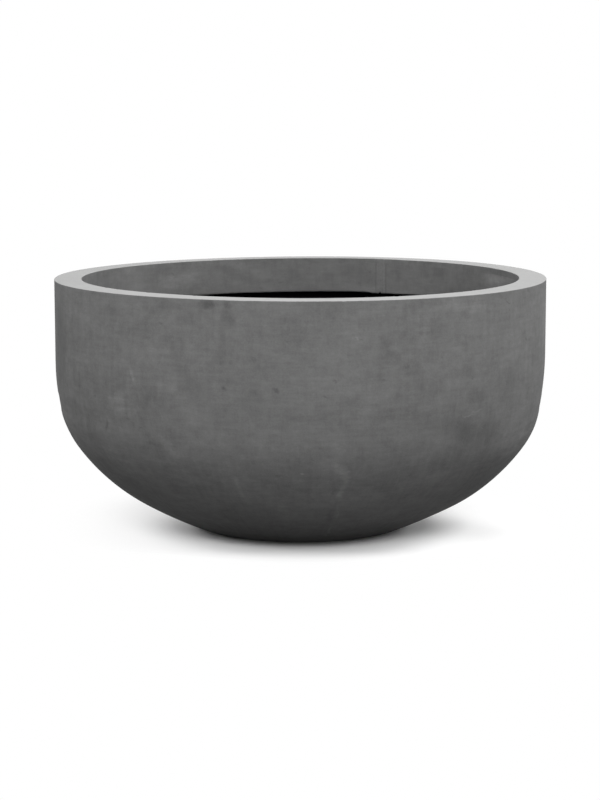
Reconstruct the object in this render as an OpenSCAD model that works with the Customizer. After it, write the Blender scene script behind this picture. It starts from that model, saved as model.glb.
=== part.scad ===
// Round bowl planter in moulded fibre cement. A thin shell turns inwards at the top
// into a broad flat rim, a band hangs from the rim's inner edge, a black coat seals
// the inside, and a rubber stopper closes the drain hole.
// The origin is the centre of the foot, on the ground. +Z is up. Sizes are in millimetres.

/* [Bowl] */
// Outside diameter at the rim
outer_d = 915; // [760:5:1200]
// Height from the ground to the top of the rim
body_h = 467; // [430:1:600]
// Thickness of the moulded wall
wall_t = 10; // [7:0.5:14]
// Thickness of the bottom
floor_t = 14; // [10:0.5:22]

/* [Side curve] */
// Radius of the slow curve that starts below the upright wall
draft_r = 560; // [400:10:760]
// Slope of the side where the slow curve ends, in degrees from upright
draft_a = 11.2; // [6:0.1:16]
// Radius of the shoulder
shoulder_r = 163; // [120:1:210]
// Slope of the side where the shoulder ends, in degrees from upright
shoulder_a = 35.4; // [28:0.1:44]
// Radius of the belly
belly_r = 367; // [290:1:440]
// Slope of the side where the belly ends, in degrees from upright
belly_a = 60; // [52:0.5:63]
// Radius of the flat curve between the belly and the foot
under_r = 870; // [700:10:1100]
// Slope of the side at the foot, in degrees from upright
under_a = 67.7; // [66:0.1:74]
// Radius of the edge of the foot
edge_r = 14; // [6:1:24]
// Radius of the hollow corner inside, between the side and the bottom
cove_r = 30; // [10:1:60]

/* [Rim] */
// Width of the flat rim
rim_w = 51; // [40:1:80]
// Thickness of the rim
rim_t = 12; // [8:0.5:18]
// Radius of the rim's two rounded arrises
arris_r = 2; // [1:0.25:4]
// Radius of the fillet under the rim, against the wall
rim_fillet_r = 12; // [4:1:16]

/* [Inner band] */
// Depth of the band's lower edge below the top of the rim
band_h = 68; // [45:1:110]
// Thickness of the band
band_t = 9; // [7:0.5:13]
// Radius of the rounding along the band's lower edge
band_edge_r = 3; // [1:0.25:3.5]
// Gap between the band's two ends, which the joint strip fills
band_gap = 4; // [2:0.5:10]
// Place of the band's joint, in degrees from +X towards +Y
joint_a = 66.6; // [0:0.1:360]

/* [Joint strip] */
// Width of the joint strip's face
strip_w = 18; // [12:0.5:30]
// Thickness of the joint strip's face
strip_t = 1.2; // [0.8:0.1:2.5]
// Distance that the strip reaches below the band
strip_drop = 2; // [0.5:0.5:6]

/* [Sealing coat] */
// Thickness of the coat
coat_t = 1.5; // [1:0.1:3]

/* [Foot and drain] */
// Width of the ring that the bowl stands on
foot_w = 34; // [20:1:80]
// Depth of the recess inside the foot ring
recess_h = 4; // [2:0.5:6]
// Width of the recess's sloping side
recess_slope = 6; // [2:1:15]
// Diameter of the drain hole
drain_d = 25; // [18:0.5:40]
// Width of the chamfer under the drain hole
drain_chamfer = 1.5; // [0.5:0.25:3]

/* [Stopper] */
// Clearance around the stopper's stem in the drain hole
stem_clear = 0.1; // [0.05:0.01:0.3]
// Distance that the stem reaches past the drain hole, into the recess
stem_proud = 1.5; // [0.5:0.25:2]
// Amount by which the stem's radius tapers at its lower end
stem_taper = 1.6; // [0.5:0.1:3]
// Height of the stem's tapered end
taper_h = 6; // [2:0.5:8]
// Thickness of the stem's rubber wall
stem_wall = 4.5; // [3:0.25:6]
// Width of the stopper's flange outside the hole
flange_w = 8.5; // [5:0.5:15]
// Thickness of the flange at its middle
flange_t = 4.5; // [3:0.25:8]
// Thickness of the flange at its edge
flange_edge_t = 2.5; // [1.5:0.25:3]
// Diameter of the grip's neck
neck_d = 11; // [8:0.5:16]
// Radius of the fillets at both ends of the neck
neck_fillet_r = 3; // [1:0.25:4]
// Diameter of the grip's head
head_d = 22; // [18:0.5:30]
// Thickness of the grip's head
head_t = 6; // [4:0.5:8]
// Height of the grip above the flange
grip_h = 17; // [16:0.5:28]

/* [Hidden] */
$fn = 120;
// Largest distance between a curve and the chords that it is drawn with
chord_gap = 0.05;
// Overlap that makes a cut run clean through a face
cut = 1;
outer_r = outer_d / 2;
mouth_r = outer_r - rim_w;
drain_r = drain_d / 2;
// The side is a chain of four tangent arcs, listed from the upright wall to the foot
side_r = [draft_r, shoulder_r, belly_r, under_r];
side_a = [draft_a, shoulder_a, belly_a, under_a];
last_arc = len(side_r) - 1;
coat_top_z = body_h - rim_t - rim_fillet_r;
seat_z = floor_t + coat_t;
foot_r = side_x(last_arc) + (under_r - edge_r) * cos(under_a);
recess_r = foot_r - foot_w;

// Centres of the arcs: x follows from the outside diameter, z from the foot
function side_x(i) = i == 0
    ? outer_r - side_r[0]
    : side_x(i - 1) + (side_r[i - 1] - side_r[i]) * cos(side_a[i - 1]);
function side_z(i) = i == last_arc
    ? edge_r + (under_r - edge_r) * sin(under_a)
    : side_z(i + 1) + (side_r[i] - side_r[i + 1]) * sin(side_a[i]);

// Points of an arc from one angle to the other, both ends included
function arc(x, z, r, from, to) =
    let (steps = max(4, ceil(abs(to - from) / (2 * acos(1 - chord_gap / r)))))
    [for (k = [0:steps]) let (a = from + (to - from) * k / steps) [x + r * cos(a), z + r * sin(a)]];

function rest(points) = [for (k = [1:len(points) - 1]) points[k]];
function reverse(points) = [for (k = [len(points) - 1:-1:0]) points[k]];

// Section of the side, set in from the outside by inset, from the upright wall down
// and round a corner of radius corner_r to the level floor_z
function side(inset, floor_z, corner_r) =
    let (
        reach = under_r - inset - corner_r,
        end_a = asin((side_z(last_arc) - floor_z - corner_r) / reach),
        corner_x = side_x(last_arc) + reach * cos(end_a)
    )
    concat(
        [[outer_r - inset, side_z(0)]],
        [for (i = [0:last_arc])
            each rest(arc(side_x(i), side_z(i), side_r[i] - inset,
                i == 0 ? 0 : -side_a[i - 1], i == last_arc ? -end_a : -side_a[i]))],
        rest(arc(corner_x, floor_z + corner_r, corner_r, -end_a, -90))
    );

// A block along the band's joint, centred on it, from radius r_in outwards
module joint_block(r_in, depth, width, z_low, z_high) {
    rotate([0, 0, joint_a])
        translate([r_in, -width / 2, z_low])
            cube([depth, width, z_high - z_low]);
}

// Moulded shell: rim, wall, belly and foot in one piece
module bowl_shell() {
    color("#6b6c6b")
        difference() {
            rotate_extrude()
                polygon(concat(
                    arc(mouth_r + arris_r, body_h - arris_r, arris_r, 180, 90),
                    arc(outer_r - arris_r, body_h - arris_r, arris_r, 90, 0),
                    side(0, 0, edge_r),
                    [[0, 0], [0, floor_t]],
                    reverse(side(wall_t, floor_t, cove_r)),
                    arc(outer_r - wall_t - rim_fillet_r, coat_top_z, rim_fillet_r, 0, 90),
                    [[mouth_r, body_h - rim_t]]
                ));
            translate([0, 0, -cut])
                cylinder(h = cut, r = recess_r);
            cylinder(h = recess_h, r1 = recess_r, r2 = recess_r - recess_slope);
            cylinder(h = seat_z, r = drain_r);
            translate([0, 0, recess_h])
                cylinder(h = drain_chamfer, r1 = drain_r + drain_chamfer, r2 = drain_r);
        }
}

// Band behind the rim's inner edge: a strip bent into a ring, with an open joint
module inner_band() {
    low_z = body_h - band_h;
    color("#656665")
        difference() {
            rotate_extrude()
                polygon(concat(
                    [[mouth_r, body_h - rim_t]],
                    arc(mouth_r + band_edge_r, low_z + band_edge_r, band_edge_r, 180, 270),
                    arc(mouth_r + band_t - band_edge_r, low_z + band_edge_r, band_edge_r, 270, 360),
                    [[mouth_r + band_t, body_h - rim_t]]
                ));
            joint_block(mouth_r - cut, band_t + 2 * cut, band_gap, low_z - cut, body_h);
        }
}

// Closing strip of T section: its web fills the band's joint and its face covers it
module band_joint_strip() {
    color("#6f706f")
        union() {
            intersection() {
                ring(mouth_r - strip_t, mouth_r, body_h - band_h - strip_drop, body_h - arris_r);
                joint_block(mouth_r / 2, mouth_r, strip_w, 0, body_h);
            }
            intersection() {
                ring(mouth_r - strip_t / 2, mouth_r + band_t, body_h - band_h, body_h - rim_t);
                joint_block(mouth_r / 2, mouth_r, band_gap, 0, body_h);
            }
        }
}

module ring(r_in, r_out, z_low, z_high) {
    translate([0, 0, z_low])
        rotate_extrude()
            translate([r_in, 0])
                square([r_out - r_in, z_high - z_low]);
}

// Black coat over the inside of the shell, up to the fillet under the rim
module sealing_coat() {
    color("#0b0b0b")
        difference() {
            rotate_extrude()
                polygon(concat(
                    [[outer_r - wall_t, coat_top_z]],
                    side(wall_t, floor_t, cove_r),
                    [[0, floor_t], [0, seat_z]],
                    reverse(side(wall_t + coat_t, seat_z, cove_r - coat_t)),
                    [[outer_r - wall_t - coat_t, coat_top_z]]
                ));
            translate([0, 0, floor_t - cut])
                cylinder(h = coat_t + 2 * cut, r = drain_r);
        }
}

// Moulded rubber stopper: a hollow stem, a flange that lies on the coat, and a grip
module drain_stopper() {
    stem_r = drain_r - stem_clear;
    low_z = recess_h - stem_proud;
    flange_r = drain_r + flange_w;
    neck_x = neck_d / 2 + neck_fillet_r;
    neck_z = seat_z + flange_t + neck_fillet_r;
    head_z = seat_z + flange_t + grip_h;
    color("#1c1c1d")
        difference() {
            rotate_extrude()
                polygon(concat(
                    [[0, low_z], [stem_r - stem_taper, low_z], [stem_r, low_z + taper_h]],
                    [[stem_r, seat_z], [flange_r, seat_z], [flange_r, seat_z + flange_edge_t]],
                    arc(neck_x, neck_z, neck_fillet_r, 270, 180),
                    arc(neck_x, head_z - head_t - neck_fillet_r, neck_fillet_r, 180, 90),
                    arc((head_d - head_t) / 2, head_z - head_t / 2, head_t / 2, -90, 90),
                    [[0, head_z]]
                ));
            translate([0, 0, low_z - cut])
                cylinder(h = seat_z - low_z + cut, r = stem_r - stem_wall);
        }
}

bowl_shell();
inner_band();
band_joint_strip();
sealing_coat();
drain_stopper();
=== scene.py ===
"""Round bowl planter in moulded fibre cement: the bowl with its flat turned-in rim, the band
behind the rim's inner edge, the trowelled joint in the band, the black sealing coat inside
and the rubber stopper in the drain hole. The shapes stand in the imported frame, in metres."""

import math

import bmesh
import bpy
import numpy as np
from bpy.props import FloatProperty, FloatVectorProperty, IntProperty, PointerProperty
from bpy.types import Operator, Panel, PropertyGroup
from mathutils import Matrix, Vector, noise


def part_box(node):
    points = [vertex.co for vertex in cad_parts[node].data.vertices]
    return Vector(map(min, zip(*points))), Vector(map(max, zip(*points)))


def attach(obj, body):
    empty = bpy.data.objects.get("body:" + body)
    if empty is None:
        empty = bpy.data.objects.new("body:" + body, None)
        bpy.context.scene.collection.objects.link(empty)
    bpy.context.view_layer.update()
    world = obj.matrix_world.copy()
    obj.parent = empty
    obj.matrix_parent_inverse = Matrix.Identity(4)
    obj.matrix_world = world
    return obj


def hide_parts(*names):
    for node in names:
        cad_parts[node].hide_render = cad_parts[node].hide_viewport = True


bl_info = {
    "name": "Bowl Planter",
    "version": (1, 0, 0),
    "blender": (4, 5, 0),
    "location": "3D View > Sidebar > Planter",
    "description": "Dresses a moulded fibre-cement bowl planter and sets up its studio",
    "category": "Add Mesh",
}

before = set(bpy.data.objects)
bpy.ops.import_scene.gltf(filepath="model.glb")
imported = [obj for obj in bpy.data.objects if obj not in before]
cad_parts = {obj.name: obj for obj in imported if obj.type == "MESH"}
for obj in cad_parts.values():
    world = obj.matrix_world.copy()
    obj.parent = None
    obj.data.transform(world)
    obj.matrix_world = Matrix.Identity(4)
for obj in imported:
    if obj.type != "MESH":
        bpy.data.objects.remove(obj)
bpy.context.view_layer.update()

SHELL_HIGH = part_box("bowl_shell")[1]
BAND_LOW, BAND_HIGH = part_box("inner_band")
STRIP_LOW, STRIP_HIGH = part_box("band_joint_strip")
COAT_LOW, COAT_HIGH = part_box("sealing_coat")
STOPPER_LOW, STOPPER_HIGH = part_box("drain_stopper")

TAU = 2 * math.pi
QUARTER = math.pi / 2
MM = 0.001
# Lengths below this count as none
TINY = 1e-6
WHITE, PAINTED_SHADOW_BLACK = (1, 1, 1, 1), (0, 0, 0, 1)
# Segments round the coarsest rings; each level of fineness doubles them
RING_SEGMENTS = 192
COARSE, WALL, MEDIUM, FINE = 0, 1, 2, 3
# Longest steps along the sections, in metres
MOULD_STEP = 0.0003
GRIP_STEP = 0.0006
ARRIS_STEP = 0.0007
ROUND_STEP = 0.0010
WORN_STEP = 0.0013
STOPPER_STEP = 0.002
BAND_STEP = 0.0030
RIM_STEP = 0.0060
WALL_STEP = 0.0076
CORNER_STEP = 0.008
COAT_STEP = 0.0090
HIDDEN_STEP = 0.030
# Radius of the soft edges that a mould gives, and depth kept for what stands out on the stopper
SOFT_R = 0.0007
STOPPER_SKIN = 0.00018


def length(name, description, default):
    """A property that holds a length in metres."""
    return FloatProperty(name=name, description=description, default=default, precision=4, unit="LENGTH")


def angle(name, description, degrees):
    """A property that holds an angle."""
    return FloatProperty(name=name, description=description, default=math.radians(degrees), unit="ROTATION")


def tone(name, description, default):
    """A property that holds a colour as linear values."""
    return FloatVectorProperty(name=name, description=description, default=default, subtype="COLOR",
                               min=0, max=1)


def count(name, description, default):
    """A property that holds a number of like things."""
    return IntProperty(name=name, description=description, default=default, min=0)


class BowlSizes(PropertyGroup):
    outer_r: length("Outer radius", "Radius of the bowl at the rim", SHELL_HIGH.x)
    body_h: length("Height", "Height of the rim's flat top", SHELL_HIGH.z)
    wall_t: length("Wall", "Thickness of the moulded wall", SHELL_HIGH.x - COAT_HIGH.x)
    floor_t: length("Floor", "Thickness of the bottom", COAT_LOW.z)
    draft_r: length("Draft radius", "Radius of the slow curve below the upright wall", 0.560)
    draft_a: angle("Draft angle", "Slope of the side where the slow curve ends", 11.2)
    shoulder_r: length("Shoulder radius", "Radius of the shoulder", 0.163)
    shoulder_a: angle("Shoulder angle", "Slope of the side where the shoulder ends", 35.4)
    belly_r: length("Belly radius", "Radius of the belly", 0.367)
    belly_a: angle("Belly angle", "Slope of the side where the belly ends", 60.0)
    under_r: length("Under radius", "Radius of the flat curve above the foot", 0.870)
    under_a: angle("Under angle", "Slope of the side at the foot", 67.7)
    edge_r: length("Foot edge", "Radius of the edge of the foot", 0.014)
    cove_r: length("Cove", "Radius of the hollow corner inside", 0.030)
    rim_t: length("Rim thickness", "Thickness of the rim", SHELL_HIGH.z - BAND_HIGH.z)
    arris_r: length("Arris", "Radius of the rim's rounded arrises", 0.0011)
    foot_w: length("Foot ring", "Width of the ring that the bowl stands on", 0.034)
    recess_h: length("Recess", "Depth of the recess inside the foot ring", 0.004)
    recess_slope: length("Recess slope", "Width of the recess's sloping side", 0.006)
    drain_d: length("Drain", "Diameter of the drain hole", 0.025)
    drain_chamfer: length("Drain chamfer", "Chamfer under the drain hole", 0.0015)
    wave: length("Hand waves", "Depth of the slow unevenness of the hand-laid wall", 0.0005)
    dimple: length("Dimples", "Depth of the small unevenness", 0.00018)
    sag: length("Sag", "Mean drop of the hand-made rim below its highest place", 0.0012)
    lean_x: length("Lean along X", "Drop of the rim towards -X", 0.0010)
    lean_y: length("Lean along Y", "Drop of the rim towards +Y", 0.0008)
    dish: length("Dish", "How much higher the rim's inner edge stands at the back", 0.0009)
    least_drop: length("Least drop", "How far the rim's highest place stays below full height", 0.00015)
    warp: length("Warp", "Drop of the rim's second and fourth quarters", 0.00095)
    bulge: length("Bulge", "How far the low side stands out towards +X", 0.0020)
    nick: length("Nicks", "Depth of the deepest nick in an arris", 0.0011)
    nick_count: count("Nick count", "Nicks along each arris of the rim", 16)
    nick_seed: count("Nick seed", "Start of the random order of the nicks", 7)


class BandSizes(PropertyGroup):
    thickness: length("Thickness", "Thickness of the band", 0.009)
    edge_r: length("Edge", "Rounding along the band's lower edge", 0.003)
    joint_gap: length("Joint", "Gap between the band's two ends", 0.004)
    joint_a: angle("Joint place", "Place of the joint, from +X towards +Y", 66.6)
    hang: length("Hang", "How far the band's lower edge hangs below its plain level", 0.0021)
    step: length("Step", "How much lower the band hangs on one side of its joint", 0.0012)
    step_run: length("Step place", "Distance from the joint to the step", 0.0215)
    strip_w: length("Strip", "Width of the joint strip", 0.018)
    strip_t: length("Strip thickness", "Thickness of the joint strip's face", 0.0012)


class CoatSizes(PropertyGroup):
    thickness: length("Thickness", "Thickness of the coat", 0.0015)
    ridge: length("Ridges", "Height of the brush ridges", 0.00035)
    drip: length("Drips", "How far the thickest drip stands out", 0.0011)
    drip_count: count("Drip count", "Drips down the inside", 34)
    drip_seed: count("Drip seed", "Start of the random order of the drips", 19)


class StopperSizes(PropertyGroup):
    stem_clear: length("Stem clearance", "Clearance round the stem in the drain hole", 0.0001)
    stem_taper: length("Taper", "Amount by which the stem's lower end tapers", 0.0016)
    taper_h: length("Taper height", "Height of the tapered end", 0.006)
    stem_wall: length("Stem wall", "Thickness of the stem's rubber", 0.0045)
    flange_t: length("Flange", "Thickness of the flange at its middle", 0.0045)
    flange_edge_t: length("Flange edge", "Thickness of the flange at its edge", 0.0025)
    neck_d: length("Neck", "Diameter of the grip's neck", 0.011)
    fillet_r: length("Fillets", "Radius of the fillets at the neck", 0.003)
    head_d: length("Head", "Diameter of the grip's head", 0.022)
    head_t: length("Head thickness", "Thickness of the grip's head", 0.006)


class Finishes(PropertyGroup):
    cement: tone("Cement", "Grey of the fibre cement", (0.125, 0.125, 0.1245))
    # Painted light: the rim is the cement's own material, and this paler grey stands for light from above on
    # its level top
    rim: tone("Rim", "Grey of the rubbed rim", (0.300, 0.300, 0.298))
    # The coat's black is darker than paint: partly the coat's own black, partly painted shade of the deep
    # inside
    coat: tone("Coat", "Black of the sealing coat", (0.0010, 0.0010, 0.0011))
    rubber: tone("Rubber", "Black of the stopper", (0.018, 0.018, 0.019))
    dust: tone("Dust", "Grey of the dust on the stopper", (0.050, 0.050, 0.049))


class Studio(PropertyGroup):
    floor_white: tone("Floor", "White of the studio floor", (1.0, 1.0, 1.0))
    floor_bounce: tone("Floor bounce", "Tone of the light that the floor sends back", (0.165, 0.165, 0.165))
    foot_light: FloatProperty(name="Foot light", description="Strength of the light that shows the foot",
                              default=0.5, min=0)
    ambient: FloatProperty(name="Ambient", description="Strength of the even light all round",
                           default=0.124, min=0)
    lens: FloatProperty(name="Lens", description="Focal length on a sensor as long as the picture is high",
                        default=103.27, unit="CAMERA")
    sensor: FloatProperty(name="Sensor", description="Size of the sensor along the picture's longer side",
                          default=36.0, unit="CAMERA")
    camera_back: length("Camera distance", "Level distance of the camera from the bowl's axis", 4.2753)
    camera_side: length("Camera offset", "Distance of the camera to the right of the bowl's axis", -0.0005)
    camera_up: length("Camera height", "Height of the camera above the floor", 0.8612)
    camera_tilt: angle("Camera tilt", "Angle at which the camera looks down", 8.371)


class PlanterSettings(PropertyGroup):
    bowl: PointerProperty(type=BowlSizes)
    band: PointerProperty(type=BandSizes)
    coat: PointerProperty(type=CoatSizes)
    stopper: PointerProperty(type=StopperSizes)
    finish: PointerProperty(type=Finishes)
    studio: PointerProperty(type=Studio)


def settings():
    return bpy.context.scene.bowl_planter


# Sections and turned forms

def arc(x, z, radius, start, end, step):
    """Points along an arc of a section, at most step apart, with both ends."""
    count = max(2, math.ceil(abs(end - start) * radius / step))
    return [(x + radius * math.cos(a), z + radius * math.sin(a)) for a in np.linspace(start, end, count + 1)]


def line(first, last, step):
    """Points along a straight stretch of a section, at most step apart, with both ends."""
    count = max(1, math.ceil(math.dist(first, last) / step))
    return [tuple(p) for p in np.linspace(first, last, count + 1)]


def join(*groups):
    """Rows (radius, height, level) of a section, from groups: a level and its stretches of points."""
    rows = []
    for level, *stretches in groups:
        for x, z in sum(stretches, []):
            if not rows or math.dist(rows[-1][:2], (x, z)) > TINY:
                rows.append((x, z, level))
    return rows


class Side:
    """The bowl's side: a chain of four tangent arcs below an upright wall."""

    def __init__(self, bowl):
        self.outer_r = bowl.outer_r
        self.radii = [bowl.draft_r, bowl.shoulder_r, bowl.belly_r, bowl.under_r]
        self.slopes = [bowl.draft_a, bowl.shoulder_a, bowl.belly_a, bowl.under_a]
        self.x = [self.outer_r - self.radii[0]]
        for i in range(1, len(self.radii)):
            self.x.append(self.x[-1] + (self.radii[i - 1] - self.radii[i]) * math.cos(self.slopes[i - 1]))
        self.z = [bowl.edge_r + (self.radii[-1] - bowl.edge_r) * math.sin(self.slopes[-1])]
        for i in range(len(self.radii) - 2, -1, -1):
            self.z.insert(0, self.z[0] + (self.radii[i] - self.radii[i + 1]) * math.sin(self.slopes[i]))

    def points(self, inset, floor_z, corner_r, step, corner_step):
        """The side set in by inset, from the upright wall down and round the corner to floor_z."""
        reach = self.radii[-1] - inset - corner_r
        end = math.asin((self.z[-1] - floor_z - corner_r) / reach)
        starts = [0.0] + [-a for a in self.slopes[:-1]]
        ends = [-a for a in self.slopes[:-1]] + [-end]
        points = []
        for x, z, radius, start, stop in zip(self.x, self.z, self.radii, starts, ends):
            points += arc(x, z, radius - inset, start, stop, step)
        corner_x = self.x[-1] + reach * math.cos(end)
        return points + arc(corner_x, floor_z + corner_r, corner_r, -end, -QUARTER, corner_step)


def outside_at(height):
    """Radius of the outside at a height, and how far the wall leans out there."""
    bowl = settings().bowl
    drop = 0.002
    side = np.array(Side(bowl).points(0, 0, bowl.edge_r, 0.004, drop))[::-1]
    radius, below = np.interp((height, height - drop), side[:, 1], side[:, 0])
    return radius, math.atan2(radius - below, drop)


def band_face_at(height):
    """Radius of the band's face, which stands upright at every height."""
    return BAND_HIGH.x - settings().band.thickness, 0.0


class Ring:
    """One turned row: its first vertex, its segments, whether it closes, its place in the bake map."""

    def __init__(self, first, segments, full, v):
        self.first = first
        self.segments = segments
        self.full = full
        self.v = v

    def corner(self, column):
        index = column % self.segments if self.full else column
        return self.first + index, column / self.segments, self.v

    def pole(self, column, segments):
        return self.first, (column + 0.5) / segments, self.v


def faces_between(a, b):
    """Faces between two rings: quads, a fan at a pole, or triangles where the fineness changes."""
    if a.segments == 0:
        a, b = b, a
    columns = range(a.segments)
    if b.segments == 0:
        return [[a.corner(k), a.corner(k + 1), b.pole(k, a.segments)] for k in columns]
    if a.segments == b.segments:
        return [[a.corner(k), a.corner(k + 1), b.corner(k + 1), b.corner(k)] for k in columns]
    if a.segments > b.segments:
        a, b = b, a
    faces = []
    for k in range(a.segments):
        middle = b.corner(2 * k + 1)
        faces.append([a.corner(k), b.corner(2 * k), middle])
        faces.append([a.corner(k), middle, a.corner(k + 1)])
        faces.append([a.corner(k + 1), middle, b.corner(2 * k + 2)])
    return faces


def section_normals(points, closed):
    """Outward directions along a section that runs clockwise, seen with the radius to the right."""
    if closed:
        tangent = np.roll(points, -1, axis=0) - np.roll(points, 1, axis=0)
    else:
        tangent = np.gradient(points, axis=0)
    normal = np.stack([-tangent[:, 1], tangent[:, 0]], axis=1)
    return normal / np.linalg.norm(normal, axis=1, keepdims=True)


class Row:
    """The points of one ring while it is formed: arrays of angle, radius and height."""

    def __init__(self, theta, radius, height, normal):
        self.theta = theta
        self.radius = np.full(theta.shape, radius)
        self.height = np.full(theta.shape, height)
        self.normal = normal

    def points(self):
        x, y = self.radius * np.cos(self.theta), self.radius * np.sin(self.theta)
        return np.stack([x, y, self.height], axis=1)

    def press(self, depth):
        """Moves the points into the material by depth."""
        self.radius = self.radius - depth * self.normal[0]
        self.height = self.height - depth * self.normal[1]


def revolve(name, rows, form, closed=True, start=0.0, sweep=TAU):
    """Turns a section about the Z axis into a mesh. form shapes each ring of points."""
    points = np.array([row[:2] for row in rows], float)
    normals = section_normals(points, closed)
    following = np.roll(points, -1, axis=0) if closed else np.vstack([points[1:], points[-1:]])
    steps = np.linalg.norm(following - points, axis=1)
    full = sweep >= TAU
    cap_room = 0.0 if full else 0.04
    place = np.concatenate([[0.0], np.cumsum(steps)]) / steps.sum() * (1 - cap_room)
    rings = []
    vertices = []
    total = 0
    for (radius, height, level), normal, v in zip(rows, normals, place):
        segments = RING_SEGMENTS << level if radius > TINY else 0
        number = 1 if segments == 0 else segments if full else segments + 1
        theta = start + sweep * np.arange(number) / max(segments, 1)
        row = Row(theta, radius, height, normal)
        if segments:
            form(row)
        vertices.append(row.points())
        rings.append(Ring(total, segments, full, v))
        total += number
    if closed:
        rings.append(Ring(0, rings[0].segments, full, place[-1]))
    faces = []
    for a, b in zip(rings, rings[1:]):
        faces += faces_between(a, b)
    vertices = np.concatenate(vertices)
    if not full:
        faces += end_caps(rings[:-1], vertices, cap_room)
    return to_mesh(name, vertices, faces)


def end_caps(rings, vertices, cap_room):
    """The two flat ends of a form that isn't turned all the way."""
    caps = []
    for last, u in ((False, 0.1), (True, 0.6)):
        index = [ring.first + (ring.segments if last else 0) for ring in rings]
        ends = vertices[index]
        reach = np.hypot(ends[:, 0], ends[:, 1])
        scale = 0.8 * cap_room / max(np.ptp(reach), TINY)
        across = (reach - reach.min()) * scale + 1 - 0.9 * cap_room
        along = (ends[:, 2] - ends[:, 2].min()) * scale + u
        caps.append(list(zip(index, along, across)))
    return caps


def grid_faces(number, u, v):
    """Faces over a grid of points, from their vertex numbers and their places in the bake map."""
    u, v = (np.broadcast_to(place, number.shape) for place in (u, v))
    corners = [list(zip(*row)) for row in zip(number.tolist(), u.tolist(), v.tolist())]
    return [[low[j], low[j + 1], high[j + 1], high[j]]
            for low, high in zip(corners, corners[1:]) for j in range(len(low) - 1)]


def to_mesh(name, vertices, faces, smooth_angle=40):
    """A mesh from vertices and faces of (vertex, u, v) corners, with smooth shading and its bake map."""
    mesh = bpy.data.meshes.new(name)
    mesh.from_pydata(vertices.tolist(), [], [[corner[0] for corner in face] for face in faces])
    layer = mesh.uv_layers.new(name="OFBake")
    places = np.array([corner[1:] for face in faces for corner in face], np.float32)
    layer.data.foreach_set("uv", places.ravel())
    shape = bmesh.new()
    shape.from_mesh(mesh)
    bmesh.ops.recalc_face_normals(shape, faces=shape.faces)
    shape.to_mesh(mesh)
    shape.free()
    mesh.shade_smooth()
    mesh.set_sharp_from_angle(angle=math.radians(smooth_angle))
    return mesh


def add_piece(mesh, material, body, node):
    """Puts a finished mesh into the scene in place of its CAD node."""
    piece = bpy.data.objects.new(mesh.name, mesh)
    bpy.context.scene.collection.objects.link(piece)
    mesh.materials.append(material)
    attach(piece, body)
    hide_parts(node)


def lumps(points, size, seed):
    """Smooth noise from about -1 to 1 at each point, with lumps of the given size."""
    shift = np.array([seed * 17.3, seed * 5.1, seed * 9.7])
    return np.array([noise.noise(Vector(p)) for p in points / size + shift])


def ramp(value, low, high):
    """A soft step from 0 at low to 1 at high."""
    t = np.clip((value - low) / (high - low), 0, 1)
    return t * t * (3 - 2 * t)


def turn(theta, place):
    """Signed angle from place to theta, the short way round."""
    return (theta - place + math.pi) % TAU - math.pi


# The hand-made unevenness that the pieces share

def settle(bowl, row, share=1.0):
    """Lowers the points by the rim's uneven sag, which fades out down the wall."""
    theta = row.theta
    lean = bowl.lean_y * np.sin(theta) - bowl.lean_x * np.cos(theta)
    drop = bowl.sag + lean - bowl.warp * np.sin(2 * theta)
    inward = ramp(bowl.outer_r - row.radius, 0, bowl.outer_r - BAND_HIGH.x)
    rise = bowl.dish * inward * ramp(np.sin(theta), -0.1, 0.6)
    row.height = row.height - share * np.maximum(drop - rise, bowl.least_drop)


def sag_share(height):
    """How much of the rim's sag reaches a height on the wall."""
    return ramp(height, 0.28, 0.44)


def waves(bowl, points):
    """Depth of the slow waves and the dimples at each point."""
    slow = 0.5 + 0.5 * lumps(points * (1, 1, 0.7), 0.21, 1)
    small = 0.5 + 0.5 * lumps(points, 0.055, 2)
    return bowl.wave * slow + bowl.dimple * small


def beside_joint(band, theta):
    """0 at the band's joint, where the faces stay flush for the strip, and 1 away from it."""
    along = np.abs(turn(theta, band.joint_a)) * BAND_HIGH.x
    return ramp(along, band.strip_w / 2, 3 * band.strip_w)


# The bowl

class Nicks:
    """Small chips along one arris, at random places round it."""

    def __init__(self, rng, count, radius, height, depth):
        self.radius = radius
        self.height = height
        self.theta = rng.uniform(0, TAU, count)
        self.width = rng.uniform(0.0016, 0.0048, count)
        self.depth = depth * rng.uniform(0.3, 1.0, count) ** 2

    def depth_at(self, row):
        total = np.zeros(row.theta.shape)
        rise = np.hypot(row.radius - self.radius, row.height - self.height)
        for theta, width, depth in zip(self.theta, self.width, self.depth):
            along = turn(row.theta, theta) * self.radius
            total += depth * np.clip(1 - (along / width) ** 2 - (rise / (0.8 * width)) ** 2, 0, 1)
        return total


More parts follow.
